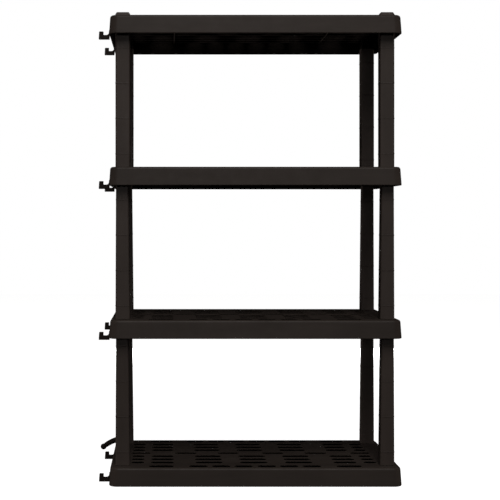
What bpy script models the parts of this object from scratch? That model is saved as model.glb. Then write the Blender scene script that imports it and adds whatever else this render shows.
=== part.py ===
"""Ventilated plastic shelving unit: four slotted shelves on plug-in posts, with side hooks.

Units are metres. +Z is up, +X is to the right seen from the front, and the front faces -Y.
The origin is on the floor, in the middle of the bottom shelf.
"""
import math

import bmesh
import bpy
from mathutils import Vector

# ---------------------------------------------------------------- driving dimensions
GAP = 0.0003                 # clearance between neighbouring pieces

SHELVES = ("bottom", "lower", "upper", "top")
DECK_Z = {"bottom": 0.055, "lower": 0.490, "upper": 0.942, "top": 1.390}

SHELF_W = 0.859              # width across the deck's top edge
SHELF_D = 0.450              # depth across the deck's top edge
SKIRT_H = 0.055              # height of the skirt, deck surface to rim
SKIRT_DRAFT = 0.0035         # how far the rim stands out beyond the top edge, per side
CORNER_R = 0.025             # corner radius in plan
CORNER_STEPS = 4
EDGE_R = 0.004               # chamfer along the deck's top edge
WALL = 0.004                 # wall of deck and skirt

SLOT_W = 0.025               # width of a wide deck slot
NARROW_SLOT_W = 0.020        # width of a middle-row slot
RIB_T = 0.003
RIB_H = 0.024                # depth of a rib below the deck surface
FOOT_W = 0.024               # centre foot under the bottom shelf

POST_W = 0.0435              # post section, left to right
POST_D = 0.036               # post section, front to back
POST_CORNER = 0.004
POST_WALL = 0.003
POST_X = 0.3930              # post centre, each side of the middle
POST_Y = 0.1735              # post centre, front and back of the middle
TAPER_IN = 0.0045            # how much a lower post's inner side leans out by its top
TAPER_OUT = 0.0015           # how much its outer side leans in

SPIGOT_W = 0.033
SPIGOT_D = 0.028
SPIGOT_CORNER = 0.003
SPIGOT_LOW = 0.020           # length of the spigot under a post
SPIGOT_HIGH = 0.018          # length of the spigot on top of a post
LEAD_IN = 0.0015             # chamfer at a spigot's end
SOCKET_WALL = 0.0035
SOCKET_H = 0.045             # a socket's length below the deck surface
SOCKET_FLOOR = 0.030         # height of the closed floor in the bottom shelf's sockets

CAP_W = 0.0450
CAP_D = 0.0390
CAP_H = 0.0135               # cap above the deck surface
CAP_SIDE_H = 0.0055          # height of its upright side, below the chamfer
CAP_TOP_INSET = 0.0035
CAP_PLUG = 0.014             # plug length below the deck surface
CAP_WALL = 0.0025

HOOK_Y = {"front": -0.160, "rear": 0.175}
HOOK_T = 0.011               # hook thickness, front to back
HOOK_DROP = 0.009            # how far a hook hangs below the rim
FLOOR_CLEARANCE = 0.002      # the bottom shelf's hooks above the floor
HOOK_PEG = 0.006             # square peg on a hook
HOOK_PEG_Z = 0.018           # peg centre above the hook's lowest point
PEG_REACH = 0.010            # peg beyond the wall it goes through
PEG_PLAY = 0.0003            # clearance round a peg, each side

HANGER_Z = 0.0668            # hanger root above the floor
HANGER_PEG = 0.008
HANGER_REACH = 0.047         # root to tip, sideways
HANGER_FALL = 0.0190         # root to tip, downwards
HANGER_R0 = 0.0092           # radius at the root
HANGER_R1 = 0.0082           # radius before the tip
HANGER_TIP_R = 0.0098

# ---------------------------------------------------------------- sizes worked out
RIM_Z = {name: DECK_Z[name] - SKIRT_H for name in SHELVES}
TIERS = (("lower", "bottom", "lower"), ("middle", "lower", "upper"), ("upper", "upper", "top"))
SIDES = {"left": -1, "right": 1}
ENDS = {"front": -1, "rear": 1}

# Slot layout for one half of a row, as (start, end) distances from the middle.
LONG_ROW = ((0.007, 0.0615), (0.073, 0.128), (0.140, 0.196), (0.241, 0.316))
SHORT_ROW = ((0.094, 0.176), (0.2405, 0.3095), (0.330, 0.3685))
MIDDLE_ROW = ((0.036, 0.103), (0.169, 0.2365), (0.312, 0.374))
CENTRE_SLOT = 0.0415
LONG_ROW_Y = 0.198
SHORT_ROWS_Y = (0.142, 0.095, 0.048)
RIB_Y = (0.1705, 0.1185, 0.0715, 0.0235)
RIB_X = 0.2385

PLASTIC = (0.024, 0.020, 0.018, 1.0)


# ---------------------------------------------------------------- helpers
def clear_scene():
    for item in list(bpy.data.objects):
        bpy.data.objects.remove(item, do_unlink=True)


def plastic(name, roughness, tint=1.0):
    material = bpy.data.materials.new(name)
    material.use_nodes = True
    shader = material.node_tree.nodes["Principled BSDF"]
    colour = [channel * tint for channel in PLASTIC[:3]] + [1.0]
    shader.inputs["Base Color"].default_value = colour
    shader.inputs["Roughness"].default_value = roughness
    shader.inputs["Metallic"].default_value = 0.0
    return material


def chamfered_rect(half_x, half_y, corner, z, centre=(0.0, 0.0)):
    """Eight points, counter-clockwise: a rectangle with cut corners."""
    cx, cy = centre
    a, b = half_x - corner, half_y - corner
    plan = ((half_x, -b), (half_x, b), (a, half_y), (-a, half_y),
            (-half_x, b), (-half_x, -b), (-a, -half_y), (a, -half_y))
    return [Vector((cx + x, cy + y, z)) for x, y in plan]


def rounded_rect(half_x, half_y, radius, z):
    """A rectangle with arcs for corners, counter-clockwise."""
    points = []
    for quarter in range(4):
        sx = 1 if quarter in (0, 3) else -1
        sy = 1 if quarter in (0, 1) else -1
        for step in range(CORNER_STEPS + 1):
            angle = math.radians(90) * (quarter + step / CORNER_STEPS)
            x = sx * (half_x - radius) + radius * math.cos(angle)
            y = sy * (half_y - radius) + radius * math.sin(angle)
            points.append(Vector((x, y, z)))
    return points


def skin(mesh, rings, closed=False):
    """Join rings of equal length with faces; cap the ends, or close the chain on itself."""
    loops = [[mesh.verts.new(point) for point in ring] for ring in rings]
    count = len(loops[0])
    pairs = list(zip(loops, loops[1:]))
    if closed:
        pairs.append((loops[-1], loops[0]))
    for lower, upper in pairs:
        for i in range(count):
            j = (i + 1) % count
            mesh.faces.new((lower[i], lower[j], upper[j], upper[i]))
    if not closed:
        mesh.faces.new(list(reversed(loops[0])))
        mesh.faces.new(loops[-1])


def add_box(mesh, low, high):
    lower = [Vector((low[0], low[1], low[2])), Vector((high[0], low[1], low[2])),
             Vector((high[0], high[1], low[2])), Vector((low[0], high[1], low[2]))]
    upper = [Vector((point.x, point.y, high[2])) for point in lower]
    skin(mesh, [lower, upper])


def finish(name, mesh, material=None, origin=(0.0, 0.0, 0.0)):
    """Turn a bmesh into an object whose origin is at the given point."""
    bmesh.ops.recalc_face_normals(mesh, faces=mesh.faces)
    bmesh.ops.translate(mesh, verts=mesh.verts, vec=-Vector(origin))
    data = bpy.data.meshes.new(name)
    mesh.to_mesh(data)
    mesh.free()
    obj = bpy.data.objects.new(name, data)
    obj.location = origin
    bpy.context.scene.collection.objects.link(obj)
    if material:
        data.materials.append(material)
    return obj


def combine(target, operation, name, mesh, origin=(0.0, 0.0, 0.0)):
    """Add or cut the solids in a bmesh, through an exact Boolean modifier."""
    tool = finish(name, mesh, origin=origin)
    tool.hide_render = True
    tool.display_type = "WIRE"
    modifier = target.modifiers.new(name, "BOOLEAN")
    modifier.operation = operation
    modifier.solver = "EXACT"
    modifier.object = tool


def half_width(depth_below_deck):
    """Half the skirt's width at a depth below the deck surface."""
    return SHELF_W / 2 + SKIRT_DRAFT * depth_below_deck / SKIRT_H


def corners():
    """Every corner of the unit as (name, x sign, y sign)."""
    for end, sy in ENDS.items():
        for side, sx in SIDES.items():
            yield end + "_" + side, sx, sy


# ---------------------------------------------------------------- shelves
def deck_shell(deck):
    """The tray: deck, drafted skirt and its hollow underside."""
    def ring(depth, inset):
        draft = SKIRT_DRAFT * depth / SKIRT_H
        half_x = SHELF_W / 2 + draft - inset
        half_y = SHELF_D / 2 + draft - inset
        return rounded_rect(half_x, half_y, CORNER_R - inset, deck - depth)

    mesh = bmesh.new()
    skin(mesh, [ring(0.0, EDGE_R), ring(EDGE_R, 0.0), ring(SKIRT_H, 0.0),
                ring(SKIRT_H, WALL), ring(WALL, WALL)])
    return mesh


def slot_boxes():
    """Every deck slot as (centre x, centre y, length, width)."""
    for sy in (-1, 1):
        for sx in (-1, 1):
            for start, end in LONG_ROW:
                yield sx * (start + end) / 2, sy * LONG_ROW_Y, end - start, SLOT_W
            for y in SHORT_ROWS_Y:
                for start, end in SHORT_ROW:
                    yield sx * (start + end) / 2, sy * y, end - start, SLOT_W
        for y in SHORT_ROWS_Y:
            yield 0.0, sy * y, 2 * CENTRE_SLOT, SLOT_W
    for sx in (-1, 1):
        for start, end in MIDDLE_ROW:
            yield sx * (start + end) / 2, 0.0, end - start, NARROW_SLOT_W


def slot_cutters(deck):
    mesh = bmesh.new()
    for x, y, length, width in slot_boxes():
        corner = width * 0.29
        skin(mesh, [chamfered_rect(length / 2, width / 2, corner, z, (x, y))
                    for z in (deck - 2 * WALL, deck + WALL)])
    return mesh


def long_ribs(deck):
    mesh = bmesh.new()
    reach = SHELF_W / 2 - WALL / 2
    for y in RIB_Y:
        for sy in (-1, 1):
            add_box(mesh, (-reach, sy * y - RIB_T / 2, deck - RIB_H),
                    (reach, sy * y + RIB_T / 2, deck - WALL / 2))
    return mesh


def cross_ribs(deck):
    mesh = bmesh.new()
    reach = SHELF_D / 2 - WALL / 2
    for sx in (-1, 1):
        add_box(mesh, (sx * RIB_X - RIB_T / 2, -reach, deck - RIB_H),
                (sx * RIB_X + RIB_T / 2, reach, deck - WALL / 2))
    return mesh


def socket_blocks(deck, bottom):
    mesh = bmesh.new()
    half_x = SPIGOT_W / 2 + GAP + SOCKET_WALL
    half_y = SPIGOT_D / 2 + GAP + SOCKET_WALL
    for _, sx, sy in corners():
        skin(mesh, [chamfered_rect(half_x, half_y, SPIGOT_CORNER, z, (sx * POST_X, sy * POST_Y))
                    for z in (bottom, deck - WALL / 2)])
    return mesh


def socket_cutters(deck, bottom):
    mesh = bmesh.new()
    half_x = SPIGOT_W / 2 + GAP
    half_y = SPIGOT_D / 2 + GAP
    for _, sx, sy in corners():
        skin(mesh, [chamfered_rect(half_x, half_y, SPIGOT_CORNER, z, (sx * POST_X, sy * POST_Y))
                    for z in (bottom, deck + WALL)])
    return mesh


def hook_base(shelf):
    """Height of the lowest point of a shelf's hooks."""
    if shelf == "bottom":
        return FLOOR_CLEARANCE
    return RIM_Z[shelf] - HOOK_DROP


def hook_hole_cutters(shelf):
    mesh = bmesh.new()
    half = HOOK_PEG / 2 + PEG_PLAY
    z = hook_base(shelf) + HOOK_PEG_Z
    outside = half_width(SKIRT_H)
    for y in HOOK_Y.values():
        add_box(mesh, (-outside - WALL, y - half, z - half),
                (-outside + 2 * WALL, y + half, z + half))
    return mesh


def make_shelf(shelf, material):
    deck = DECK_Z[shelf]
    name = shelf + "_shelf"
    shell = finish(name, deck_shell(deck), material)
    combine(shell, "UNION", name + "_long_ribs", long_ribs(deck))
    combine(shell, "UNION", name + "_cross_ribs", cross_ribs(deck))
    if shelf == "bottom":
        combine(shell, "UNION", name + "_sockets", socket_blocks(deck, 0.0))
        foot = bmesh.new()
        add_box(foot, (-FOOT_W / 2, -FOOT_W / 2, 0.0), (FOOT_W / 2, FOOT_W / 2, deck - WALL / 2))
        combine(shell, "UNION", name + "_foot", foot)
        cut_from = SOCKET_FLOOR
    else:
        combine(shell, "UNION", name + "_sockets", socket_blocks(deck, deck - SOCKET_H))
        cut_from = deck - SOCKET_H - WALL
    combine(shell, "DIFFERENCE", name + "_slots", slot_cutters(deck))
    combine(shell, "DIFFERENCE", name + "_pockets", socket_cutters(deck, cut_from))
    combine(shell, "DIFFERENCE", name + "_hook_holes", hook_hole_cutters(shelf))


# ---------------------------------------------------------------- posts
def body_section(sx, x, y, z, taper_in, taper_out, inset=0.0):
    """A post's section, with its outer side towards sx."""
    outer = POST_W / 2 - taper_out - inset
    inner = POST_W / 2 - taper_in - inset
    centre = (x + sx * (outer - inner) / 2, y)
    corner = max(POST_CORNER - inset, 0.001)
    return chamfered_rect((outer + inner) / 2, POST_D / 2 - inset, corner, z, centre)


def spigot_section(x, y, z, inset=0.0):
    corner = max(SPIGOT_CORNER - inset, 0.001)
    return chamfered_rect(SPIGOT_W / 2 - inset, SPIGOT_D / 2 - inset, corner, z, (x, y))


def make_post(name, sx, sy, foot_z, head_z, taper, material):
    """A hollow post between two shoulders, with a spigot beyond each."""
    x, y = sx * POST_X, sy * POST_Y
    t_in, t_out = (TAPER_IN, TAPER_OUT) if taper else (0.0, 0.0)
    low, high = foot_z - SPIGOT_LOW, head_z + SPIGOT_HIGH
    neck = POST_WALL + 0.001
    outer = [spigot_section(x, y, low, LEAD_IN), spigot_section(x, y, low + LEAD_IN),
             spigot_section(x, y, foot_z), body_section(sx, x, y, foot_z, 0.0, 0.0),
             body_section(sx, x, y, head_z, t_in, t_out), spigot_section(x, y, head_z),
             spigot_section(x, y, high - LEAD_IN), spigot_section(x, y, high, LEAD_IN)]
    inner = [spigot_section(x, y, high, POST_WALL),
             spigot_section(x, y, head_z - neck, POST_WALL),
             body_section(sx, x, y, head_z - 2 * neck, t_in, t_out, POST_WALL),
             body_section(sx, x, y, foot_z + 2 * neck, 0.0, 0.0, POST_WALL),
             spigot_section(x, y, foot_z + neck, POST_WALL),
             spigot_section(x, y, low, POST_WALL)]
    mesh = bmesh.new()
    skin(mesh, outer + inner, closed=True)
    return finish(name, mesh, material, origin=(x, y, foot_z))


def make_tier(tier, below, above, material):
    foot_z = DECK_Z[below] + GAP
    head_z = DECK_Z[above] - SOCKET_H - GAP
    for corner, sx, sy in corners():
        name = tier + "_post_" + corner
        post = make_post(name, sx, sy, foot_z, head_z, tier != "upper", material)
        if name == "lower_post_rear_left":
            half = HANGER_PEG / 2 + PEG_PLAY
            face = -POST_X - POST_W / 2
            hole = bmesh.new()
            add_box(hole, (face - POST_WALL, POST_Y - half, HANGER_Z - half),
                    (face + 2 * POST_WALL, POST_Y + half, HANGER_Z + half))
            combine(post, "DIFFERENCE", name + "_peg_hole", hole)


# ---------------------------------------------------------------- caps
def make_cap(corner, sx, sy, material):
    """A chamfered lid on a hollow plug."""
    deck = DECK_Z["top"]
    centre = (sx * POST_X, sy * POST_Y)
    base = deck + GAP
    outer = [chamfered_rect(CAP_W / 2 - CAP_TOP_INSET, CAP_D / 2 - CAP_TOP_INSET,
                            POST_CORNER / 2, deck + CAP_H, centre),
             chamfered_rect(CAP_W / 2, CAP_D / 2, POST_CORNER, deck + CAP_SIDE_H, centre),
             chamfered_rect(CAP_W / 2, CAP_D / 2, POST_CORNER, base, centre),
             spigot_section(*centre, base),
             spigot_section(*centre, deck - CAP_PLUG + LEAD_IN),
             spigot_section(*centre, deck - CAP_PLUG, LEAD_IN)]
    inner = [spigot_section(*centre, deck - CAP_PLUG, CAP_WALL),
             spigot_section(*centre, deck + CAP_H / 2, CAP_WALL)]
    mesh = bmesh.new()
    skin(mesh, outer + inner)
    finish("cap_" + corner, mesh, material, origin=(centre[0], centre[1], deck))


# ---------------------------------------------------------------- hooks and hanger
def hook_profile():
    """Side outline as (distance out from the skirt, height above the lowest point)."""
    return ((GAP, 0.0), (0.030, 0.0), (0.0325, 0.0025), (0.0325, 0.021), (0.0305, 0.0235),
            (0.0215, 0.0235), (0.0195, 0.0215), (0.0195, 0.016), (0.017, 0.013), (0.007, 0.013),
            (0.0032, 0.0165), (0.0032, 0.026), (0.0022, 0.027), (GAP, 0.027))


def make_hook(shelf, end, material):
    """An L-shaped hook with a back plate that follows the skirt's draft, and a peg."""
    base = hook_base(shelf)
    y = HOOK_Y[end]

    def place(out, height, side):
        depth = DECK_Z[shelf] - base - height
        return Vector((-half_width(depth) - out, y + side * HOOK_T / 2, base + height))

    mesh = bmesh.new()
    skin(mesh, [[place(out, height, side) for out, height in hook_profile()]
                for side in (-1, 1)])
    root_x = -half_width(SKIRT_H)
    origin = (root_x, y, base)
    name = "hook_" + shelf + "_" + end
    hook = finish(name, mesh, material, origin=origin)
    half = HOOK_PEG / 2
    z = base + HOOK_PEG_Z
    peg = bmesh.new()
    add_box(peg, (root_x - 0.001, y - half, z - half),
            (root_x + WALL + PEG_REACH, y + half, z + half))
    combine(hook, "UNION", name + "_peg", peg)


def hanger_sections():
    """Centre, direction and radius along the hanger, root to tip."""
    root_x = -POST_X - POST_W / 2 - GAP
    steps = 7
    for step in range(steps + 1):
        t = step / steps
        x = root_x - HANGER_REACH * t
        z = HANGER_Z - HANGER_FALL * t ** 1.7
        slope = HANGER_FALL * 1.7 * t ** 0.7 / HANGER_REACH
        radius = HANGER_R0 + (HANGER_R1 - HANGER_R0) * t
        yield Vector((x, POST_Y, z)), Vector((-1.0, 0.0, -slope)).normalized(), radius


def make_hanger(material):
    """A curved arm with a ball tip, on a peg through the post's outer wall."""
    rings = []
    sides = 10
    sections = list(hanger_sections())
    tip, direction, _ = sections[-1]
    for angle in (-35, 0, 35, 65):
        along = HANGER_TIP_R * (1.0 + math.sin(math.radians(angle)))
        sections.append((tip + direction * along, direction,
                         HANGER_TIP_R * math.cos(math.radians(angle))))
    for centre, heading, radius in sections:
        up = Vector((-heading.z, 0.0, heading.x))
        side = Vector((0.0, 1.0, 0.0))
        rings.append([centre + radius * (math.cos(math.tau * i / sides) * up
                                         + math.sin(math.tau * i / sides) * side)
                      for i in range(sides)])
    mesh = bmesh.new()
    skin(mesh, rings)
    root_x = -POST_X - POST_W / 2 - GAP
    hanger = finish("curved_hanger", mesh, material, origin=(root_x, POST_Y, HANGER_Z))
    half = HANGER_PEG / 2
    peg = bmesh.new()
    add_box(peg, (root_x - 0.001, POST_Y - half, HANGER_Z - half),
            (root_x + POST_WALL + PEG_REACH, POST_Y + half, HANGER_Z + half))
    combine(hanger, "UNION", "curved_hanger_peg", peg)


# ---------------------------------------------------------------- build
def main():
    clear_scene()
    for shelf in SHELVES:
        make_shelf(shelf, plastic(shelf + "_shelf_plastic", 0.55))
    for tier, below, above in TIERS:
        make_tier(tier, below, above, plastic(tier + "_post_plastic", 0.5, 1.15))
    for corner, sx, sy in corners():
        make_cap(corner, sx, sy, plastic("cap_plastic_" + corner, 0.5, 1.1))
    for shelf in SHELVES:
        for end in HOOK_Y:
            make_hook(shelf, end, plastic("hook_plastic_" + shelf + "_" + end, 0.5))
    make_hanger(plastic("hanger_plastic", 0.5))


main()
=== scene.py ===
"""Looks for the ventilated plastic shelving unit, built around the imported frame.

Units are metres. +Z is up, +X is to the right seen from the front, and the front faces -Y.
Every shelf, post, cap, hook and hanger is rebuilt here as a finely rounded moulding in the
place that its CAD node holds, and rides on that node's body.
"""

import math

import bmesh
import bpy
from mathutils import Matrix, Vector


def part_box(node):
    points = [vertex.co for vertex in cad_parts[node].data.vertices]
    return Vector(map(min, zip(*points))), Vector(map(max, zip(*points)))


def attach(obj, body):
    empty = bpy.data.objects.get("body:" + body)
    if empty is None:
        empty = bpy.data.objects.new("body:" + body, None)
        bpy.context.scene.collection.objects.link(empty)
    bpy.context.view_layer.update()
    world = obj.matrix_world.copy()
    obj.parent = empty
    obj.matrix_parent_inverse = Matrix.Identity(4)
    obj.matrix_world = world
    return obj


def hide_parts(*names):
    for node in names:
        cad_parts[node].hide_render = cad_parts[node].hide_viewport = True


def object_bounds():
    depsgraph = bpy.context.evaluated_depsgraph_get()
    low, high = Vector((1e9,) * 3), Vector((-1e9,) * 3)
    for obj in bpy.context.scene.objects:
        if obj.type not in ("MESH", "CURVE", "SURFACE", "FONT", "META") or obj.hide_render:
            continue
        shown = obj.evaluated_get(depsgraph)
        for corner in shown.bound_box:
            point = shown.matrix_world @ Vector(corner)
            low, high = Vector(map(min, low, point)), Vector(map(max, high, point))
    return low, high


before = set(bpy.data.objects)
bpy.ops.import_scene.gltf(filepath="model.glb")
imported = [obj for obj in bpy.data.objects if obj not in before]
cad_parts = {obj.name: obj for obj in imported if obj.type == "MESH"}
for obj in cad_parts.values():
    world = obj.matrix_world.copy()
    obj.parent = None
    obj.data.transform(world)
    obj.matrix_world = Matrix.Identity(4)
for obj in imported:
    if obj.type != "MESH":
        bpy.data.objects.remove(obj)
cad_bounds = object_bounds()

# ---------------------------------------------------------------- sizes the frame doesn't state
DRAFT = 0.0035               # how far the skirt's rim stands out beyond the deck's edge
CORNER_R = 0.025             # shelf corner radius in plan
WALL = 0.004                 # deck and skirt wall
EDGE_R = 0.007               # rounding along the deck's top edge
RIM_R = 0.0025               # rounding along the rim
ARC = 10                     # steps round each shelf corner

SLOT_W = 0.025
NARROW_SLOT_W = 0.020
SLOT_ARC = 10                # steps round each slot end
SLOT_EDGE = 0.0005           # rounding along a slot's edge
SLOT_LAND = 0.0006           # upright part of a slot's wall, with its rounding
SLOT_FLARE = 0.004           # how far a slot opens out towards the underside
# Slots in each kind of row as (start, end), measured from the deck's centre.
LONG_ROW = ((0.007, 0.0615), (0.073, 0.128), (0.140, 0.196), (0.241, 0.316))
SHORT_ROW = ((0.094, 0.176), (0.2405, 0.3095), (0.330, 0.3685))
MIDDLE_ROW = ((0.036, 0.103), (0.169, 0.2365), (0.312, 0.374))
CENTRE_SLOT = 0.0415         # half the slot that spans the centre line
LONG_ROW_Y = 0.198
SHORT_ROWS_Y = (0.142, 0.095, 0.048)

RIB_T = 0.003
RIB_H = 0.024                # from the deck's top face
RIB_Y = (0.1705, 0.1185, 0.0715, 0.0235)
RIB_X = 0.2385
FOOT_W = 0.024

SPIGOT = (0.033, 0.028)      # spigot section, left to right and front to back
SPIGOT_R = 0.003
SPIGOT_LOW = 0.020           # length below a post's foot
SPIGOT_HIGH = 0.018          # length above its head
LEAD_IN = 0.0015
FIT = 0.0003                 # clearance round a spigot or a peg
SOCKET_WALL = 0.0035
SOCKET_H = 0.045             # socket depth under a raised deck
SOCKET_FLOOR = 0.030         # solid part below the bottom shelf's sockets

POST = (0.0435, 0.036)       # post section at its foot
POST_R = 0.0045
POST_WALL = 0.003
POST_EDGE = 0.0012           # rounding along a post's shoulders
TAPER_IN = 0.0045            # how far the inner side leans out from foot to head
TAPER_OUT = 0.0015           # how far the outer side leans in
BAND_Z = (0.040, 0.145, 0.250, 0.355)   # moulded bands above a post's foot
BAND_OUT = 0.0006
BAND_HALF = 0.0022

CAP_SIDE_H = 0.0055
CAP_H = 0.0135
CAP_INSET = 0.0035
CAP_WALL = 0.0025

HOOK_ENDS = ("front", "rear")
HOOK_EDGE = 0.0009           # rounding along a hook's sides
HOOK_PEG = 0.006
HOOK_PEG_Z = 0.018           # peg centre above the hook's lowest point
# Side outline as (distance out from the skirt, height above the lowest point, corner radius).
HOOK_OUTLINE = ((0.0003, 0.0, 0.001), (0.0325, 0.0, 0.0025), (0.0325, 0.0235, 0.0022),
                (0.0195, 0.0235, 0.0022), (0.0195, 0.013, 0.003), (0.0075, 0.013, 0.003),
                (0.0032, 0.0175, 0.003), (0.0032, 0.027, 0.0014), (0.0003, 0.027, 0.001))

HANGER_POST = "lower_post_rear_left"
HANGER_PEG = 0.008
HANGER_REACH = 0.047         # root to tip, sideways
HANGER_FALL = 0.0190         # root to tip, downwards
HANGER_BEND = 1.7            # power of the arm's curve: 1 would be straight
HANGER_R0 = 0.0092           # arm radius at its root
HANGER_R1 = 0.0082           # arm radius where the ball starts
HANGER_TIP_R = 0.0098
HANGER_EDGE = 0.0008         # rounding where the arm meets the post
HANGER_STEPS = 22
HANGER_SIDES = 24
SHARP_ANGLE = 40             # degrees between faces, from which an edge is shaded sharp

# ---------------------------------------------------------------- finish, light and camera
SHELF_COLOUR = (0.046, 0.0362, 0.0312)
POST_COLOUR = (0.059, 0.0466, 0.0407)
HOOK_COLOUR = (0.020, 0.0155, 0.0135)
DUST = (0.085, 0.078, 0.070, 1.0)
SPECULAR = 0.2
EDGE_RUB = 0.0016            # how far rubbing reaches in from an edge
PAINTED_SHADE_REACH = 0.100               # how far apart a piece's own walls still paint shade on each other

# Each front light as (place, size, watts). All of them aim at the middle of the object.
FRONT_LIGHTS = {"key": ((0.0, -6.0, 6.2), (2.6, 4.6), 204.0),
                "top": ((0.0, -3.1, 5.4), (1.8, 2.4), 30.0),
                "front_fill": ((0.0, -8.5, 1.7), (2.0, 0.8), 42.0)}
SIDE_FILL = 25.0             # watts, at each side
SIDE_FILL_X = 3.4
SIDE_FILL_Z = 0.3
SIDE_FILL_SIZE = (0.05, 0.5)
REAR_FILL = 52.0
REAR_FILL_Y = 3.6
REAR_FILL_Z = 0.2
REAR_FILL_SIZE = (2.6, 0.3)
AMBIENT = 0.004
AMBIENT_COLOUR = (1.0, 0.97, 0.95)
WARM = (1.0, 0.96, 0.93)
WHITE = (1.0, 1.0, 1.0)
FLOOR = 9.0                  # half the floor's side
FLOOR_GLOW = 0.96
FLOOR_SHADOW_INSET = 0.035          # how far in from the unit's rim its painted shadow on the floor starts
FLOOR_BLEND = 0.020          # width of that painted shadow's soft edge
FLOOR_DROP = 0.0006          # gap that keeps the floor from fighting the shelf's rim

CAMERA_DISTANCE = 3.48       # from the front rims
CAMERA_X = -0.261
CAMERA_Z = 0.782
SENSOR = 36.0                # millimetres, as is LENS
LENS = 85.24
SHIFT = (0.1657, -0.058)     # keeps the uprights and the shelf fronts square to the frame

SHELVES = ("bottom", "lower", "upper", "top")
BODY_OF_SHELF = {"bottom": "bottom_deck", "lower": "lower_deck",
                 "upper": "upper_deck", "top": "top_deck"}
TIERS = ("lower", "middle", "upper")
CORNERS = {"front_left": (-1, -1), "front_right": (1, -1),
           "rear_left": (-1, 1), "rear_right": (1, 1)}


# ---------------------------------------------------------------- outlines
def arc_rect(half_x, half_y, radius, z, steps, centre=(0.0, 0.0)):
    """A rectangle with arcs for corners, counter-clockwise."""
    points = []
    for quarter in range(4):
        sx = 1 if quarter in (0, 3) else -1
        sy = 1 if quarter in (0, 1) else -1
        for step in range(steps + 1):
            angle = math.radians(90) * (quarter + step / steps)
            x = centre[0] + sx * (half_x - radius) + radius * math.cos(angle)
            y = centre[1] + sy * (half_y - radius) + radius * math.sin(angle)
            points.append(Vector((x, y, z)))
    return points


def stadium(x, y, length, width, z, grow=0.0):
    """A slot outline with round ends, counter-clockwise."""
    radius = width / 2 + grow
    reach = (length - width) / 2
    points = []
    for end in (0, 1):
        sign = 1 if end == 0 else -1
        for step in range(SLOT_ARC + 1):
            angle = math.radians(-90 + 180 * (end + step / SLOT_ARC))
            points.append(Vector((x + sign * reach + radius * math.cos(angle),
                                  y + radius * math.sin(angle), z)))
    return points


def slots():
    """Every deck slot as (centre x, centre y, length, width)."""
    for sy in (-1, 1):
        for sx in (-1, 1):
            for start, end in LONG_ROW:
                yield sx * (start + end) / 2, sy * LONG_ROW_Y, end - start, SLOT_W
            for y in SHORT_ROWS_Y:
                for start, end in SHORT_ROW:
                    yield sx * (start + end) / 2, sy * y, end - start, SLOT_W
        for y in SHORT_ROWS_Y:
            yield 0.0, sy * y, 2 * CENTRE_SLOT, SLOT_W
    for sx in (-1, 1):
        for start, end in MIDDLE_ROW:
            yield sx * (start + end) / 2, 0.0, end - start, NARROW_SLOT_W


# ---------------------------------------------------------------- mesh helpers
def ring(mesh, points):
    return [mesh.verts.new(point) for point in points]


def bridge(mesh, first, second):
    """Quads between two rings of equal length."""
    count = len(first)
    for i in range(count):
        j = (i + 1) % count
        mesh.faces.new((first[i], first[j], second[j], second[i]))


def skin(mesh, rings, closed=False, caps=True):
    loops = [ring(mesh, points) for points in rings]
    for lower, upper in zip(loops, loops[1:]):
        bridge(mesh, lower, upper)
    if closed:
        bridge(mesh, loops[-1], loops[0])
    elif caps:
        mesh.faces.new(list(reversed(loops[0])))
        mesh.faces.new(loops[-1])
    return loops


def ring_edges(mesh, loop):
    return [mesh.edges.get((loop[i], loop[(i + 1) % len(loop)])) or
            mesh.edges.new((loop[i], loop[(i + 1) % len(loop)]))
            for i in range(len(loop))]


def fill_between(mesh, outer, holes, up):
    """A flat face with holes, as triangles."""
    edges = ring_edges(mesh, outer)
    for hole in holes:
        edges += ring_edges(mesh, hole)
    normal = (0.0, 0.0, 1.0 if up else -1.0)
    bmesh.ops.triangle_fill(mesh, use_beauty=True, use_dissolve=False,
                            edges=edges, normal=normal)


def box(mesh, low, high):
    lower = [Vector((low[0], low[1], low[2])), Vector((high[0], low[1], low[2])),
             Vector((high[0], high[1], low[2])), Vector((low[0], high[1], low[2]))]
    skin(mesh, [lower, [Vector((p.x, p.y, high[2])) for p in lower]])


def new_object(name, mesh):
    bmesh.ops.recalc_face_normals(mesh, faces=mesh.faces)
    data = bpy.data.meshes.new(name)
    mesh.to_mesh(data)
    mesh.free()
    obj = bpy.data.objects.new(name, data)
    bpy.context.scene.collection.objects.link(obj)
    return obj


def apply_modifiers(obj):
    graph = bpy.context.evaluated_depsgraph_get()
    graph.update()
    data = bpy.data.meshes.new_from_object(obj.evaluated_get(graph))
    obj.modifiers.clear()
    obj.data = data


def combine(target, operation, mesh):
    """Add or cut the solids in a bmesh, and keep only the result."""
    tool = new_object("tool", mesh)
    modifier = target.modifiers.new("combine", "BOOLEAN")
    modifier.operation = operation
    modifier.solver = "EXACT"
    modifier.object = tool
    apply_modifiers(target)
    bpy.data.objects.remove(tool)


def smooth(obj):
    """Shade round surfaces smooth while flat faces stay flat."""
    obj.data.shade_smooth()
    obj.data.set_sharp_from_angle(angle=math.radians(SHARP_ANGLE))
    weighted = obj.modifiers.new("weighted_normals", "WEIGHTED_NORMAL")
    weighted.mode = "FACE_AREA"
    weighted.weight = 100
    weighted.keep_sharp = True
    apply_modifiers(obj)


def place(obj, material, body, slot, *nodes):
    obj.data.materials.clear()
    obj.data.materials.append(material)
    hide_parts(*nodes)
    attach(obj, body)


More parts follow.
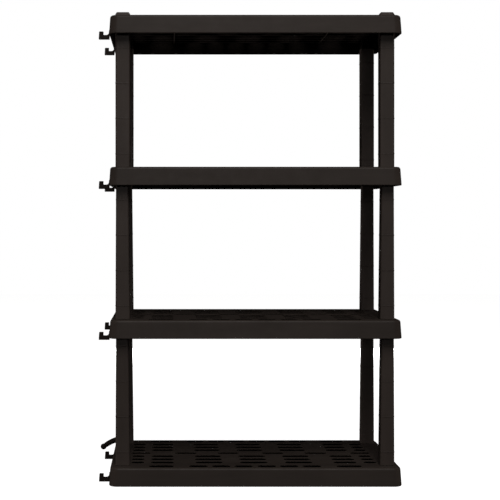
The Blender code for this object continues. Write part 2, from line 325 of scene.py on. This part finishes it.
# ---------------------------------------------------------------- shelves
def shelf_shell(low, high):
    """Deck, skirt and slots of one shelf as a closed surface with rounded edges."""
    deck, height = high.z, high.z - low.z

    def outline(inset, depth):
        lean = DRAFT * (1.0 - depth / height)
        return arc_rect(high.x - lean - inset, high.y - lean - inset,
                        CORNER_R - inset, deck - depth, ARC)

    rings = []
    for step in range(5):
        angle = math.radians(90 * step / 4)
        rings.append(outline(EDGE_R * (1 - math.sin(angle)), EDGE_R * (1 - math.cos(angle))))
    for step in range(4):
        angle = math.radians(90 * step / 3)
        rings.append(outline(RIM_R * (1 - math.cos(angle)),
                             height - RIM_R * (1 - math.sin(angle))))
    rings.append(outline(WALL - RIM_R / 2, height))
    rings.append(outline(WALL, height - RIM_R / 2))
    rings.append(outline(WALL, WALL))
    mesh = bmesh.new()
    loops = skin(mesh, rings, caps=False)

    tops, bottoms = [], []
    for x, y, length, width in slots():
        hole = []
        for step in range(4):
            angle = math.radians(90 * step / 3)
            hole.append(stadium(x, y, length, width, deck - SLOT_EDGE * (1 - math.cos(angle)),
                                SLOT_EDGE * (1 - math.sin(angle))))
        hole.append(stadium(x, y, length, width, deck - SLOT_LAND))
        hole.append(stadium(x, y, length, width, deck - WALL, SLOT_FLARE))
        slot_loops = skin(mesh, hole, caps=False)
        tops.append(slot_loops[0])
        bottoms.append(slot_loops[-1])
    fill_between(mesh, loops[0], tops, up=True)
    fill_between(mesh, loops[-1], bottoms, up=False)
    return mesh


def rib_boxes(high, along_x):
    """Ribs under a deck, either those that run left to right or those front to back."""
    mesh = bmesh.new()
    deck = high.z
    top = deck - WALL / 2
    if along_x:
        reach = high.x - DRAFT - WALL / 2
        for y in RIB_Y:
            for sy in (-1, 1):
                box(mesh, (-reach, sy * y - RIB_T / 2, deck - RIB_H),
                    (reach, sy * y + RIB_T / 2, top))
    else:
        reach = high.y - DRAFT - WALL / 2
        for sx in (-1, 1):
            box(mesh, (sx * RIB_X - RIB_T / 2, -reach, deck - RIB_H),
                (sx * RIB_X + RIB_T / 2, reach, top))
    return mesh


def post_centre(corner):
    low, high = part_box("upper_post_" + corner)
    return (low.x + high.x) / 2, (low.y + high.y) / 2


def socket_prisms(bottom, top, grow):
    mesh = bmesh.new()
    for corner in CORNERS:
        centre = post_centre(corner)
        skin(mesh, [arc_rect(SPIGOT[0] / 2 + grow, SPIGOT[1] / 2 + grow, SPIGOT_R + grow, z, 4,
                             centre) for z in (bottom, top)])
    return mesh


def peg_holes(shelf, low):
    """Square holes through the left skirt, level with the pegs of this shelf's hooks."""
    mesh = bmesh.new()
    half = HOOK_PEG / 2 + FIT
    for end in HOOK_ENDS:
        hook_low, hook_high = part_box("hook_" + shelf + "_" + end)
        y = (hook_low.y + hook_high.y) / 2
        z = hook_low.z + HOOK_PEG_Z
        box(mesh, (low.x - WALL, y - half, z - half), (low.x + 2 * WALL, y + half, z + half))
    return mesh


def make_shelf(shelf, material):
    """One shelf: the shell with its ribs and corner sockets. Only the bottom one has a foot."""
    low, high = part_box(shelf + "_shelf")
    obj = new_object(shelf + "_shelf_moulding", shelf_shell(low, high))
    for along_x in (True, False):
        combine(obj, "UNION", rib_boxes(high, along_x))
    under_deck = high.z - WALL / 2
    if shelf == "bottom":
        combine(obj, "UNION", socket_prisms(low.z, under_deck, FIT + SOCKET_WALL))
        foot = bmesh.new()
        box(foot, (-FOOT_W / 2, -FOOT_W / 2, low.z), (FOOT_W / 2, FOOT_W / 2, under_deck))
        combine(obj, "UNION", foot)
        combine(obj, "DIFFERENCE", socket_prisms(low.z + SOCKET_FLOOR, high.z + WALL, FIT))
    else:
        combine(obj, "UNION",
                socket_prisms(high.z - SOCKET_H, under_deck, FIT + SOCKET_WALL))
        combine(obj, "DIFFERENCE",
                socket_prisms(high.z - SOCKET_H - WALL, high.z + WALL, FIT))
    combine(obj, "DIFFERENCE", peg_holes(shelf, low))
    smooth(obj)
    place(obj, material, BODY_OF_SHELF[shelf], "shelf_plastic", shelf + "_shelf")


# ---------------------------------------------------------------- posts
def spigot_outline(centre, z, inset=0.0):
    radius = max(SPIGOT_R - inset, 0.0008)
    return arc_rect(SPIGOT[0] / 2 - inset, SPIGOT[1] / 2 - inset, radius, z, 5, centre)


def make_post(tier, corner, material):
    """A hollow tapered post with raised bands, and a spigot at each end."""
    node = tier + "_post_" + corner
    low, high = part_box(node)
    side = CORNERS[corner][0]
    centre = ((low.x + high.x) / 2, (low.y + high.y) / 2)
    foot, head = low.z + SPIGOT_LOW, high.z - SPIGOT_HIGH
    tapers = tier != "upper"

    def outline(z, grow=0.0):
        share = (z - foot) / (head - foot) if tapers else 0.0
        outer = POST[0] / 2 - TAPER_OUT * share + grow
        inner = POST[0] / 2 - TAPER_IN * share + grow
        middle = (centre[0] + side * (outer - inner) / 2, centre[1])
        return arc_rect((outer + inner) / 2, POST[1] / 2 + grow,
                        max(POST_R + grow, 0.001), z, 5, middle)

    outer = [spigot_outline(centre, low.z, LEAD_IN), spigot_outline(centre, low.z + LEAD_IN),
             spigot_outline(centre, foot)]
    outer += [outline(foot, -POST_EDGE), outline(foot + 0.3 * POST_EDGE, -0.3 * POST_EDGE),
              outline(foot + POST_EDGE)]
    for height in BAND_Z:
        for step in (-1.0, -0.6, 0.0, 0.6, 1.0):
            grow = BAND_OUT * (1.0 - abs(step) ** 2) ** 0.5
            outer.append(outline(foot + height + BAND_HALF * step, grow))
    outer += [outline(head - POST_EDGE), outline(head - 0.3 * POST_EDGE, -0.3 * POST_EDGE),
              outline(head, -POST_EDGE)]
    outer += [spigot_outline(centre, head), spigot_outline(centre, high.z - LEAD_IN),
              spigot_outline(centre, high.z, LEAD_IN)]
    neck = POST_WALL + 0.001
    inner = [spigot_outline(centre, high.z, POST_WALL),
             spigot_outline(centre, head - neck, POST_WALL),
             outline(head - 2 * neck, -POST_WALL), outline(foot + 2 * neck, -POST_WALL),
             spigot_outline(centre, foot + neck, POST_WALL),
             spigot_outline(centre, low.z, POST_WALL)]
    mesh = bmesh.new()
    skin(mesh, outer + inner, closed=True)
    obj = new_object(node + "_tube", mesh)
    if node == HANGER_POST:
        half = HANGER_PEG / 2 + FIT
        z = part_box("curved_hanger")[1].z - HANGER_R0
        hole = bmesh.new()
        box(hole, (low.x - POST_WALL, centre[1] - half, z - half),
            (low.x + 2 * POST_WALL, centre[1] + half, z + half))
        combine(obj, "DIFFERENCE", hole)
    smooth(obj)
    place(obj, material, tier + "_posts", "post_plastic", node)


# ---------------------------------------------------------------- caps
def make_cap(corner, material):
    """A chamfered lid with a slightly domed top, on a hollow plug."""
    node = "cap_" + corner
    low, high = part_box(node)
    centre = ((low.x + high.x) / 2, (low.y + high.y) / 2)
    half_x, half_y = (high.x - low.x) / 2, (high.y - low.y) / 2
    deck = high.z - CAP_H
    base = deck + FIT
    shoulder = deck + CAP_SIDE_H

    def lid(inset, z):
        return arc_rect(half_x - inset, half_y - inset, max(POST_R - 0.5 * inset, 0.001), z, 5,
                        centre)

    # Crown, chamfer and side of the lid, then the plug's outside and its bore.
    rings = [lid(half_x * 0.5, high.z), lid(CAP_INSET + 0.004, high.z - 0.0001),
             lid(CAP_INSET + 0.0012, high.z - 0.0004), lid(CAP_INSET + 0.0002, high.z - 0.0014),
             lid(0.0005, shoulder + 0.0008), lid(0.0, shoulder - 0.0008),
             lid(0.0, base + 0.0004), lid(0.0004, base)]
    rings += [spigot_outline(centre, base), spigot_outline(centre, low.z + LEAD_IN),
              spigot_outline(centre, low.z, LEAD_IN)]
    rings += [spigot_outline(centre, low.z, CAP_WALL),
              spigot_outline(centre, deck + CAP_H / 2, CAP_WALL)]
    mesh = bmesh.new()
    skin(mesh, rings)
    obj = new_object(node + "_lid", mesh)
    smooth(obj)
    place(obj, material, node + "_body", "cap_plastic", node)


# ---------------------------------------------------------------- hooks and hanger
def rounded_outline(points, steps=4):
    """Replace each (x, z, radius) corner of a closed outline with an arc."""
    outline = []
    count = len(points)
    for i, (x, z, radius) in enumerate(points):
        here = Vector((x, z))
        before = Vector(points[i - 1][:2]) - here
        after = Vector(points[(i + 1) % count][:2]) - here
        start = here + before.normalized() * radius
        end = here + after.normalized() * radius
        for step in range(steps + 1):
            t = step / steps
            outline.append(start * (1 - t) ** 2 + here * 2 * t * (1 - t) + end * t ** 2)
    return outline


def inset(outline, distance):
    """Move each point of a counter-clockwise outline inwards."""
    moved = []
    count = len(outline)
    for i, point in enumerate(outline):
        along = outline[(i + 1) % count] - outline[i - 1]
        inward = Vector((-along.y, along.x)).normalized()
        moved.append(point + inward * distance)
    return moved


def make_hook(shelf, end, material):
    """An L-shaped hook with a gusset, on a back plate that follows the skirt's draft."""
    node = "hook_" + shelf + "_" + end
    low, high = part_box(node)
    shelf_low, shelf_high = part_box(shelf + "_shelf")
    height = shelf_high.z - shelf_low.z
    y, half = (low.y + high.y) / 2, (high.y - low.y) / 2

    def skirt_x(z):
        return shelf_low.x + DRAFT * (z - shelf_low.z) / height

    outline = rounded_outline(HOOK_OUTLINE)
    rings = []
    for side in (-1, 1):
        edges = ((HOOK_EDGE, 0.0), (0.3 * HOOK_EDGE, 0.3 * HOOK_EDGE), (0.0, HOOK_EDGE))
        for shrink, back in (edges if side < 0 else reversed(edges)):
            rings.append([Vector((skirt_x(low.z + point.y) - point.x, y + side * (half - back),
                                  low.z + point.y)) for point in inset(outline, shrink)])
    mesh = bmesh.new()
    skin(mesh, rings)
    obj = new_object(node + "_moulding", mesh)
    peg = bmesh.new()
    z = low.z + HOOK_PEG_Z
    box(peg, (shelf_low.x - 0.001, y - HOOK_PEG / 2, z - HOOK_PEG / 2),
        (high.x, y + HOOK_PEG / 2, z + HOOK_PEG / 2))
    combine(obj, "UNION", peg)
    smooth(obj)
    place(obj, material, node + "_body", "hook_plastic", node)


def make_hanger(material):
    """A curved arm that thins towards a ball tip, on a square peg through the post."""
    low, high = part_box("curved_hanger")
    post_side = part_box(HANGER_POST)[0].x
    root = Vector((post_side - FIT, (low.y + high.y) / 2, high.z - HANGER_R0))
    sections = [(root, Vector((-1.0, 0.0, 0.0)), HANGER_R0 - HANGER_EDGE)]
    for step in range(HANGER_STEPS + 1):
        t = 0.02 + 0.98 * step / HANGER_STEPS
        point = root + Vector((-HANGER_REACH * t, 0.0, -HANGER_FALL * t ** HANGER_BEND))
        slope = HANGER_FALL * HANGER_BEND * t ** (HANGER_BEND - 1.0) / HANGER_REACH
        radius = HANGER_R0 + (HANGER_R1 - HANGER_R0) * t
        sections.append((point, Vector((-1.0, 0.0, -slope)).normalized(), radius))
    tip, heading, _ = sections[-1]
    for angle in range(-45, 90, 12):
        turn = math.radians(angle)
        sections.append((tip + heading * HANGER_TIP_R * (math.sin(turn) + 0.9), heading,
                         HANGER_TIP_R * math.cos(turn)))
    rings = []
    turns = [math.tau * i / HANGER_SIDES for i in range(HANGER_SIDES)]
    across = Vector((0.0, 1.0, 0.0))
    for centre, along, radius in sections:
        up = Vector((-along.z, 0.0, along.x))
        rings.append([centre + radius * (math.cos(turn) * up + math.sin(turn) * across)
                      for turn in turns])
    mesh = bmesh.new()
    skin(mesh, rings)
    obj = new_object("curved_hanger_moulding", mesh)
    peg = bmesh.new()
    half = HANGER_PEG / 2
    box(peg, (root.x - 0.001, root.y - half, root.z - half),
        (high.x, root.y + half, root.z + half))
    combine(obj, "UNION", peg)
    smooth(obj)
    place(obj, material, "hanger_body", "hanger_plastic", "curved_hanger")


# ---------------------------------------------------------------- materials
class Graph:
    """A small helper that adds nodes to a material and links them."""

    def __init__(self, name):
        self.material = bpy.data.materials.new(name)
        self.material.use_nodes = True
        self.tree = self.material.node_tree
        self.shader = self.tree.nodes["Principled BSDF"]
        coordinates = self.tree.nodes.new("ShaderNodeTexCoord")
        self.place = coordinates.outputs["Object"]

    def add(self, kind, **inputs):
        node = self.tree.nodes.new(kind)
        for key, value in inputs.items():
            self.feed(node.inputs[key.replace("_", " ")], value)
        return node

    def feed(self, socket, value):
        if isinstance(value, bpy.types.NodeSocket):
            self.tree.links.new(value, socket)
        else:
            socket.default_value = value

    def stretched(self, scale):
        node = self.add("ShaderNodeMapping", Vector=self.place)
        node.inputs["Scale"].default_value = scale
        return node.outputs["Vector"]

    def noise(self, scale, detail=2.0, roughness=0.5, vector=None):
        node = self.add("ShaderNodeTexNoise", Vector=vector or self.place, Scale=scale,
                        Detail=detail, Roughness=roughness)
        return node.outputs["Fac"]

    def remap(self, value, low, high, to_low=0.0, to_high=1.0):
        node = self.add("ShaderNodeMapRange", Value=value)
        node.inputs["From Min"].default_value = low
        node.inputs["From Max"].default_value = high
        node.inputs["To Min"].default_value = to_low
        node.inputs["To Max"].default_value = to_high
        node.clamp = True
        return node.outputs["Result"]

    def math(self, operation, first, second=0.0):
        node = self.tree.nodes.new("ShaderNodeMath")
        node.operation = operation
        self.feed(node.inputs[0], first)
        self.feed(node.inputs[1], second)
        return node.outputs["Value"]

    def mix(self, factor, first, second):
        node = self.tree.nodes.new("ShaderNodeMix")
        node.data_type = "RGBA"
        self.feed(node.inputs["Factor"], factor)
        self.feed(node.inputs["A"], first)
        self.feed(node.inputs["B"], second)
        return node.outputs["Result"]

    def bump(self, height, strength, distance, normal=None):
        node = self.add("ShaderNodeBump", Height=height, Strength=strength, Distance=distance)
        if normal is not None:
            self.feed(node.inputs["Normal"], normal)
        return node.outputs["Normal"]


def tone(colour, factor):
    return tuple(channel * factor for channel in colour) + (1.0,)


def resin(name, colour, roughness, flow, scuffs, dust, shine=1.0):
    """Moulded resin: cloudy pigment, flow lines, fine grain, rubbed edges, scuffs and dust.

    flow is how a texture is stretched along the way the melt ran, as scales for X, Y and Z.
    Hollows between a piece's own walls get painted shade: their colour darkens and their sheen
    fades. shine scales the highlights.
    """
    graph = Graph(name)
    clouds = graph.noise(5.0, 3.0)
    streaks = graph.noise(7.0, 3.0, 0.6, graph.stretched(flow))
    shade = graph.math("ADD", graph.math("MULTIPLY", clouds, 0.55),
                       graph.math("MULTIPLY", streaks, 0.45))
    pigment = graph.mix(graph.remap(shade, 0.35, 0.65), tone(colour, 0.86), tone(colour, 1.14))

    geometry = graph.tree.nodes.new("ShaderNodeNewGeometry")
    soft = graph.add("ShaderNodeBevel", Radius=EDGE_RUB)
    soft.samples = 4
    aligned = graph.tree.nodes.new("ShaderNodeVectorMath")
    aligned.operation = "DOT_PRODUCT"
    graph.feed(aligned.inputs[0], soft.outputs["Normal"])
    graph.feed(aligned.inputs[1], geometry.outputs["Normal"])
    edge = graph.remap(aligned.outputs["Value"], 0.995, 0.86)
    rubbed = graph.math("MULTIPLY", edge, graph.remap(graph.noise(28.0, 3.0), 0.38, 0.62))
    coloured = graph.mix(graph.math("MULTIPLY", rubbed, 0.5), pigment, tone(colour, 1.9))

    lines = graph.noise(60.0, 2.0, 0.5, graph.stretched((1.0, 14.0, 14.0)))
    cross = graph.noise(60.0, 2.0, 0.5, graph.stretched((14.0, 1.0, 1.6)))
    marks = graph.math("MAXIMUM", graph.remap(lines, 0.70, 0.76), graph.remap(cross, 0.71, 0.77))
    marks = graph.math("MULTIPLY", marks, graph.remap(graph.noise(9.0, 2.0), 0.5, 0.66))
    coloured = graph.mix(graph.math("MULTIPLY", marks, scuffs), coloured, tone(colour, 2.6))

    # Painted shade: where a piece's own walls close in, its colour is darkened almost to black.
    hollow = graph.add("ShaderNodeAmbientOcclusion", Distance=PAINTED_SHADE_REACH)
    hollow.samples = 6
    hollow.only_local = True
    clear_of_painted_shade = graph.remap(hollow.outputs["AO"], 0.75, 0.99)
    coloured = graph.mix(clear_of_painted_shade, tone(colour, 0.04), coloured)

    axes = graph.add("ShaderNodeSeparateXYZ", Vector=geometry.outputs["Normal"])
    upward = graph.remap(axes.outputs["Z"], 0.8, 1.0)
    settled = graph.math("MULTIPLY", upward, graph.remap(graph.noise(22.0, 5.0, 0.65), 0.42, 0.72))
    coloured = graph.mix(graph.math("MULTIPLY", settled, dust), coloured, DUST)
    graph.feed(graph.shader.inputs["Base Color"], coloured)

    sheen = graph.remap(graph.noise(34.0, 4.0, 0.6), 0.3, 0.7, roughness - 0.05, roughness + 0.06)
    sheen = graph.math("SUBTRACT", sheen, graph.math("MULTIPLY", rubbed, 0.12))
    sheen = graph.math("ADD", sheen, graph.math("MULTIPLY", settled, 0.15))
    graph.feed(graph.shader.inputs["Roughness"], sheen)
    # Painted shade on the highlights: the sheen fades in the same hollows.
    graph.feed(graph.shader.inputs["Specular IOR Level"],
               graph.math("MULTIPLY", clear_of_painted_shade, SPECULAR * shine))

    waves = graph.bump(graph.noise(16.0, 2.0), 0.25, 0.0012)
    stipple = graph.bump(graph.noise(650.0, 3.0, 0.6), 0.10, 0.0004, waves)
    fine = graph.bump(graph.math("SUBTRACT", 1.0, marks), 0.12, 0.0002, stipple)
    graph.feed(graph.shader.inputs["Normal"], fine)
    return graph.material


def floor_paint():
    """Pale matt floor that glows, with a painted shadow under the unit where the glow stops, and
    clear when seen from below.
    """
    graph = Graph("pale_floor")
    mottle = graph.remap(graph.noise(3.0, 4.0), 0.3, 0.7)
    colour = graph.mix(mottle, (0.86, 0.86, 0.86, 1.0), (0.9, 0.9, 0.9, 1.0))
    graph.feed(graph.shader.inputs["Base Color"], colour)
    graph.shader.inputs["Roughness"].default_value = 0.9
    surface = graph.add("ShaderNodeNewGeometry")
    axes = graph.add("ShaderNodeSeparateXYZ", Vector=surface.outputs["Position"])
    low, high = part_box("bottom_shelf")
    centre, half = (low + high) / 2, (high - low) / 2
    # Painted shadow: the floor's glow stops under the unit, so there the floor shows only the
    # light that really reaches it.
    beyond = []
    for axis in "xy":
        offset = graph.math("SUBTRACT", axes.outputs[axis.upper()], getattr(centre, axis))
        start = getattr(half, axis) - FLOOR_SHADOW_INSET
        beyond.append(graph.remap(graph.math("ABSOLUTE", offset), start, start + FLOOR_BLEND))
    clear_of_painted_shadow = graph.math("MAXIMUM", *beyond)
    graph.shader.inputs["Emission Color"].default_value = (1.0, 1.0, 1.0, 1.0)
    graph.feed(graph.shader.inputs["Emission Strength"],
               graph.math("MULTIPLY", clear_of_painted_shadow, FLOOR_GLOW))
    graph.feed(graph.shader.inputs["Alpha"],
               graph.math("SUBTRACT", 1.0, surface.outputs["Backfacing"]))
    return graph.material


# ---------------------------------------------------------------- stage
def make_floor():
    mesh = bmesh.new()
    mesh.faces.new(ring(mesh, [Vector((x * FLOOR, y * FLOOR, -FLOOR_DROP))
                               for x, y in ((-1, -1), (1, -1), (1, 1), (-1, 1))]))
    floor = new_object("floor", mesh)
    floor.data.materials.append(floor_paint())
    floor.visible_diffuse = False
    floor.visible_glossy = False


def make_world():
    """White behind the object, and a dim studio for everything that lights it."""
    world = bpy.data.worlds.new("studio")
    bpy.context.scene.world = world
    world.use_nodes = True
    tree = world.node_tree
    tree.nodes.clear()
    output = tree.nodes.new("ShaderNodeOutputWorld")
    path = tree.nodes.new("ShaderNodeLightPath")
    mix = tree.nodes.new("ShaderNodeMixShader")
    tree.links.new(path.outputs["Is Camera Ray"], mix.inputs["Fac"])
    for socket, colour, strength in ((1, AMBIENT_COLOUR, AMBIENT), (2, WHITE, 1.0)):
        background = tree.nodes.new("ShaderNodeBackground")
        background.inputs["Color"].default_value = colour + (1.0,)
        background.inputs["Strength"].default_value = strength
        tree.links.new(background.outputs["Background"], mix.inputs[socket])
    tree.links.new(mix.outputs["Shader"], output.inputs["Surface"])


def softbox(name, location, target, size, energy, colour=WHITE, glossy=True):
    """A rectangular light that the camera can't see. size is (width, height)."""
    data = bpy.data.lights.new(name, "AREA")
    data.shape = "RECTANGLE"
    data.size, data.size_y = size
    data.energy = energy
    data.color = colour
    light = bpy.data.objects.new(name, data)
    bpy.context.scene.collection.objects.link(light)
    light.location = location
    light.rotation_mode = "QUATERNION"
    light.rotation_quaternion = (Vector(target) - Vector(location)).to_track_quat("-Z", "Y")
    light.visible_camera = False
    light.visible_glossy = glossy


def make_lights():
    """Soft lights high in front of the object, and faint fills for its other faces."""
    middle = Vector((0.0, 0.0, (cad_bounds[0].z + cad_bounds[1].z) / 2))
    for name, (location, size, energy) in FRONT_LIGHTS.items():
        softbox(name, location, middle, size, energy, WARM)
    posts = post_centre("front_left")[1]
    for name, side in (("side_fill_left", -1), ("side_fill_right", 1)):
        softbox(name, (side * SIDE_FILL_X, posts, SIDE_FILL_Z), (0.0, posts, SIDE_FILL_Z),
                SIDE_FILL_SIZE, SIDE_FILL, glossy=False)
    softbox("rear_fill", (0.0, REAR_FILL_Y, REAR_FILL_Z), (0.0, 0.0, REAR_FILL_Z),
            REAR_FILL_SIZE, REAR_FILL, glossy=False)


def make_camera():
    data = bpy.data.cameras.new("camera")
    data.sensor_width = SENSOR
    data.lens = LENS
    data.shift_x, data.shift_y = SHIFT
    data.clip_end = 50.0
    camera = bpy.data.objects.new("camera", data)
    bpy.context.scene.collection.objects.link(camera)
    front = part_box("top_shelf")[0].y
    camera.location = (CAMERA_X, front - CAMERA_DISTANCE, CAMERA_Z)
    camera.rotation_euler = (math.radians(90), 0.0, 0.0)
    bpy.context.scene.camera = camera


# ---------------------------------------------------------------- build
def main():
    shelf_material = resin("shelf_resin", SHELF_COLOUR, 0.47, (0.6, 5.0, 5.0), 0.25, 0.10)
    post_material = resin("post_resin", POST_COLOUR, 0.45, (5.0, 5.0, 0.5), 0.12, 0.0)
    cap_material = resin("cap_resin", POST_COLOUR, 0.46, (2.0, 2.0, 2.0), 0.2, 0.12)
    hook_material = resin("hook_resin", HOOK_COLOUR, 0.5, (0.8, 4.0, 4.0), 0.2, 0.05, 0.4)
    hanger_material = resin("hanger_resin", HOOK_COLOUR, 0.45, (0.8, 4.0, 4.0), 0.2, 0.05, 0.4)
    for shelf in SHELVES:
        make_shelf(shelf, shelf_material)
        for end in HOOK_ENDS:
            make_hook(shelf, end, hook_material)
    for tier in TIERS:
        for corner in CORNERS:
            make_post(tier, corner, post_material)
    for corner in CORNERS:
        make_cap(corner, cap_material)
    make_hanger(hanger_material)
    make_floor()
    make_world()
    make_lights()
    make_camera()
    bpy.context.scene.view_settings.view_transform = "Standard"


main()
